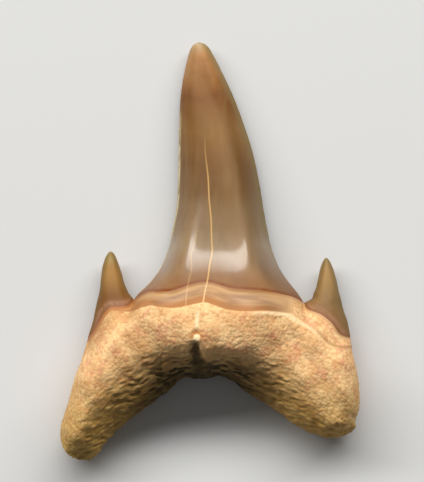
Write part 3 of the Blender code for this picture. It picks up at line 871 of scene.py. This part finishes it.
# Cream and pink in broad patches, pale and orange single grains, ochre down the lobes
patch = put("TexNoise", {"Vector": place, "Scale": 1.1, "Detail": 3.0})
pink = put("TexNoise", {"Vector": place, "Scale": 1.8, "Detail": 2.0})
grain_tone = put("TexVoronoi", {"Vector": place, "Scale": 1 / FINE_CELL}, out=1)
tone = put("SeparateColor", [grain_tone], out=0)
other = put("SeparateColor", [grain_tone], out=1)
cream = put("MapRange", (patch, 0.38, 0.62), **SMOOTH)
root = put("Mix", {0: cream, 6: "DCAC76", 7: "EBC28C"}, **COLOUR)
pink = put("MapRange", (pink, 0.50, 0.68, 0.0, 0.55), **SMOOTH)
root = put("Mix", {0: pink, 6: root, 7: "D69270"}, **COLOUR)
ochre = put("MapRange", (height, -4.6, -7.4, 0.0, 0.65), **SMOOTH)
root = put("Mix", {0: ochre, 6: root, 7: "B09048"}, **COLOUR)
shoulder = put("Math", (put("MapRange", (below_it, 0.85, 0.15, 0.0, 0.60), **SMOOTH),
                        put("MapRange", (across, -2.4, -3.6), **SMOOTH)), **TIMES)
root = put("Mix", {0: shoulder, 6: root, 7: "A87E4C"}, **COLOUR)
# Painted light: the lobes' ends made lighter where they face away from the lamp
lobe_end_painted_light = put("MapRange", (height, -7.7, -8.5, 0.0, 0.9), **SMOOTH)
root = put("Mix", {0: lobe_end_painted_light, 6: root, 7: "EEC672"}, **COLOUR)
pale_grain = put("MapRange", (tone, 0.60, 0.95, 0.0, 0.32), **SMOOTH)
root = put("Mix", {0: pale_grain, 6: root, 7: "EFD09A"}, **COLOUR)
orange_grain = put("MapRange", (other, 0.62, 0.95, 0.0, 0.34), **SMOOTH)
root = put("Mix", {0: orange_grain, 6: root, 7: "B8703E"}, **COLOUR)
print("dentine has", len(dentine.node_tree.nodes), "nodes so far")

# %% [markdown]
# Dirt gathers where water stood, between the grains. Deep in the arch the root is darker,
# partly from a stain and partly from painted shade. The groove let a vessel into the root;
# its dark slot is painted shade, and it ends above in a pit with a pale spot.

# %% Silt, stain, painted shade and groove
# Silt between the grains, and the dark of the arch, strongest in its middle: partly a stain in the hollows,
# partly painted shade where the root falls away from the lamp
silt = put("Math", (put("MapRange", (hollows, 0.50, 0.95, 0.0, 0.58), **SMOOTH),
                    put("MapRange", (cells, 0.60, 0.90, 0.0, 0.22), **SMOOTH)), operation="MAXIMUM")
root = put("Mix", {0: silt, 6: root, 7: "80541E"}, **COLOUR)
# Painted shade: an ochre tint towards the arch that darkens and warms the side facing away from the lamp
ochre = put("MapRange", (arch, 1.20, 0.30, 0.0, 0.50), **SMOOTH)
root = put("Mix", {0: ochre, 6: root, 7: "B08838"}, **COLOUR)
# Painted shade of the arch, with a stain that gathers in the hollows
middle = put("Math", (put("MapRange", (across, 3.5, 1.1, 0.05, 1.0), **SMOOTH),
                      put("MapRange", (across, -4.8, -1.4, 0.30, 1.0), **SMOOTH)), **TIMES)
arch_stain_and_shade = put("Math", (put("MapRange", (arch, 0.86, 0.26), **SMOOTH), middle), **TIMES)
in_hollows = put("Math", (put("MapRange", (hollows, 0.28, 0.62, 0.45, 1.0), **SMOOTH),
                          put("MapRange", (arch, 0.32, 0.14, 0.0, 0.85), **SMOOTH)), operation="MAXIMUM")
arch_stain_and_shade = put("Math", (arch_stain_and_shade, in_hollows), **TIMES)
root = put("Mix", {0: arch_stain_and_shade, 6: root, 7: "362A02"}, **COLOUR)

# The groove: a pale seam at the top, a pale spot in the pit under painted shade of the pit's wall, and a
# dark slot of painted shade that widens downwards
groove = put("Attribute", out=2, attribute_name="groove")
ragged = put("TexNoise", {"Vector": place, "Scale": 3.5, "Detail": 2.0})
ragged = put("MapRange", (ragged, 0.3, 0.7, -0.10, 0.10))
# Painted shade: a dark slot down the groove's hollow, wider towards the arch
slot = put("Math", [put("Math", (groove, ragged))], operation="ABSOLUTE")
slot = put("Math", (slot, put("MapRange", (height, -3.7, -5.2, 0.20, 0.50))), operation="DIVIDE")
slot = put("Math", (put("MapRange", (slot, 1.1, 0.3), **SMOOTH),
                    put("MapRange", (height, -3.68, -3.84), **SMOOTH)), **TIMES)
root = put("Mix", {0: put("Math", (slot, 0.85), **TIMES), 6: root, 7: "463A18"}, **COLOUR)
seam = put("Math", [groove], operation="ABSOLUTE")
seam = put("Math", (put("MapRange", (seam, 0.12, 0.03, 0.0, 0.80), **SMOOTH),
                    put("MapRange", (height, -3.30, -3.10), **SMOOTH)), **TIMES)
seam = put("Math", (seam, put("MapRange", (height, -2.4, -2.6), **SMOOTH)), **TIMES)
root = put("Mix", {0: seam, 6: root, 7: "F4DCB0"}, **COLOUR)
spot = put("Attribute", out=2, attribute_name="pale_spot")
# Painted shade: orange-brown on the pit's wall above the pale spot
pit_wall_shade = put("Math", (put("MapRange", (spot, 0.42, 0.18, 0.0, 0.75), **SMOOTH),
                    put("MapRange", (height, -3.70, -3.55), **SMOOTH)), **TIMES)
root = put("Mix", {0: pit_wall_shade, 6: root, 7: "B87030"}, **COLOUR)
spot = put("Math", (spot, put("Math", (ragged, 0.5), **TIMES)))
root = put("Mix", {0: put("MapRange", (spot, 0.20, 0.08), **SMOOTH), 6: root, 7: "FFE6B4"}, **COLOUR)
print("dentine has", len(dentine.node_tree.nodes), "nodes so far")

# %% [markdown]
# The neck grew in layers that follow the border, so its noise is stretched along it. Then
# neck and root are mixed by the share that the mesh stores, and get one shader.

# %% Bare neck and finish
# The neck in layers: a brown line under the border, then pale, grey-tan in the middle,
# and brown above the rim
layers = put("CombineXYZ", (put("Math", (across, 0.16), **TIMES), below_it, 0.0))
layers = put("TexNoise", {"Vector": layers, "Scale": 5.0, "Detail": 3.0})
layers_share = put("MapRange", (layers, 0.36, 0.64), **SMOOTH)
neck = put("Mix", {0: layers_share, 6: "A07A58", 7: "BC946A"}, **COLOUR)
pale_top = put("MapRange", (below_it, 0.30, 0.12, 0.0, 0.80), **SMOOTH)
neck = put("Mix", {0: pale_top, 6: neck, 7: "C49A68"}, **COLOUR)
under_border = put("MapRange", (below_it, 0.14, 0.03, 0.0, 0.75), **SMOOTH)
neck = put("Mix", {0: under_border, 6: neck, 7: "94602E"}, **COLOUR)
brown = put("Math", (put("MapRange", (rim_gap, -0.34, -0.12, 0.0, 0.75), **SMOOTH),
                     put("MapRange", (layers, 0.30, 0.55, 0.4, 1.0), **SMOOTH)), **TIMES)
neck = put("Mix", {0: brown, 6: neck, 7: "A86A34"}, **COLOUR)
right_end = put("MapRange", (across, 2.3, 3.6, 0.0, 0.80), **SMOOTH)
neck = put("Mix", {0: right_end, 6: neck, 7: "CAA070"}, **COLOUR)
long_gap = put("Math", [put("Attribute", out=2, attribute_name="long_crack")], operation="ABSOLUTE")
faint_gap = put("Math", [put("Attribute", out=2, attribute_name="faint_crack")], operation="ABSOLUTE")
cracks = put("Math", (put("MapRange", (long_gap, *CRACK, 0.65, 0.0), **SMOOTH),
                      put("MapRange", (faint_gap, *CRACK, 0.25, 0.0), **SMOOTH)), operation="MAXIMUM")
cracks = put("Math", (cracks, facing_up), **TIMES)
neck = put("Mix", {0: cracks, 6: neck, 7: "E6C492"}, **COLOUR)

# Neck and root together, with a thin brown line along the rim on the right and a painted highlight along it
grainy_share = put("Attribute", out=2, attribute_name="grainy")
colour = put("Mix", {0: put("MapRange", (grainy_share, 0.1, 0.7), **SMOOTH), 6: neck, 7: root}, **COLOUR)
thin = put("MapRange", (put("Math", [rim_gap], operation="ABSOLUTE"), 0.02, 0.10, 0.50, 0.0), **SMOOTH)
thin = put("Math", (thin, put("MapRange", (across, 4.0, 4.8), **SMOOTH)), **TIMES)
colour = put("Mix", {0: thin, 6: colour, 7: "94683C"}, **COLOUR)
# Painted highlight just beyond the rim
lit = put("Math", [put("Math", (rim_gap, -0.07))], operation="ABSOLUTE")
lit = put("Math", (put("MapRange", (lit, 0.04, 0.12, 0.75, 0.0), **SMOOTH),
                   put("MapRange", (across, 1.4, 2.6), **SMOOTH)), **TIMES)
lit = put("Math", (lit, put("MapRange", (across, 4.7, 4.1), **SMOOTH)), **TIMES)
colour = put("Mix", {0: lit, 6: colour, 7: "F6D8A8"}, **COLOUR)

# The bump: grains with crumbs on them, on the root only
crumbs = put("TexNoise", {"Vector": place, "Scale": 14.0, "Detail": 2.0})
bumps = put("Math", (put("MapRange", (cells, 0.0, 0.8, 1.0, 0.0)), put("Math", (crumbs, 0.5), **TIMES)))
bumps = put("Math", (bumps, grainy_share), **TIMES)
bump = put("Bump", {"Strength": 0.42, "Distance": 0.05 * MM, "Height": bumps})
rough = put("MapRange", (grainy_share, 0.0, 1.0, 0.42, 0.80))
shader = put("BsdfPrincipled", {
    "Base Color": colour, "Roughness": rough, "Normal": bump, "IOR": 1.55, "Specular IOR Level": 0.2,
})
put("OutputMaterial", {"Surface": shader})
tooth.data.materials.append(dentine)
print("dentine has", len(dentine.node_tree.nodes), "nodes")

# %% [markdown]
# The stage: a plain pale floor, one long soft lamp beyond the tip, a weak sky for the
# shadows, and a camera straight above with a long lens. The lamp is long because its
# reflection at the foot of the crown is as wide as the lamp.

# %% Floor, light and camera
# The photograph: a pixel in mm, its width in pixels, and where its middle is on the tooth
PIXEL = 0.04233
IMAGE_WIDTH = 424
CENTRE_OF_IMAGE = (0.085, 0.42)
# Lens and sensor in mm. In metres: the nearest that the camera sees, the height at which
# the photograph's scale holds, half the floor's width, and the lamp's place and size
LENS = 300.0
SENSOR = 36.0
NEAREST = 0.005
SCALE_HEIGHT = 0.0015
FLOOR_HALF = 1.0
LAMP_AT = (-0.04, 0.30, 0.28)
LAMP_SIZE = (1.04, 0.10)
LAMP_POWER = 4.3
LAMP_COLOUR = (1.0, 0.975, 0.94)
SKY = 0.11


def pale_floor():
    """A plain square under the tooth, far wider than the view."""
    mesh = bpy.data.meshes.new("floor")
    ends = (-FLOOR_HALF, FLOOR_HALF)
    mesh.from_pydata([(x, y, 0.0) for y in ends for x in ends], [], [(0, 1, 3, 2)])
    floor = bpy.data.objects.new("floor", mesh)
    bpy.context.scene.collection.objects.link(floor)
    paint, put, *_ = new_material("pale_floor")
    surface = put("BsdfPrincipled", {"Base Color": "D8DADB", "Roughness": 0.8})
    put("OutputMaterial", {"Surface": surface})
    mesh.materials.append(paint)


def soft_lamp():
    """A long rectangular lamp, turned to the middle of the tooth."""
    lamp = bpy.data.lights.new("key", "AREA")
    lamp.shape = "RECTANGLE"
    lamp.size, lamp.size_y = LAMP_SIZE
    lamp.energy = LAMP_POWER
    lamp.color = LAMP_COLOUR
    thing = bpy.data.objects.new("key", lamp)
    thing.location = LAMP_AT
    thing.rotation_euler = (-Vector(LAMP_AT)).to_track_quat("-Z", "Y").to_euler()
    bpy.context.scene.collection.objects.link(thing)


def camera_above():
    """A camera that sees the photograph's field: its distance is lens length times the
    width of the field over the width of the sensor."""
    lens = bpy.data.cameras.new("camera")
    lens.lens = LENS
    lens.sensor_width = SENSOR
    lens.sensor_fit = "HORIZONTAL"
    lens.clip_start = NEAREST
    far = LENS * IMAGE_WIDTH * PIXEL * MM / SENSOR
    middle = 0.5 * (np.array(cad_box[0]) + np.array(cad_box[1]))
    middle_x, middle_y = middle[:2] + np.array(CENTRE_OF_IMAGE) * MM
    thing = bpy.data.objects.new("camera", lens)
    thing.location = (middle_x, middle_y, far + SCALE_HEIGHT)
    bpy.context.scene.collection.objects.link(thing)
    bpy.context.scene.camera = thing
    print("camera", round(far, 4), "m above")


pale_floor()
soft_lamp()
camera_above()
sky = bpy.data.worlds.new("sky")
sky.use_nodes = True
sky.node_tree.nodes["Background"].inputs["Color"].default_value = (1.0, 0.98, 0.95, 1.0)
sky.node_tree.nodes["Background"].inputs["Strength"].default_value = SKY
bpy.context.scene.world = sky
bpy.context.scene.view_settings.view_transform = "Standard"
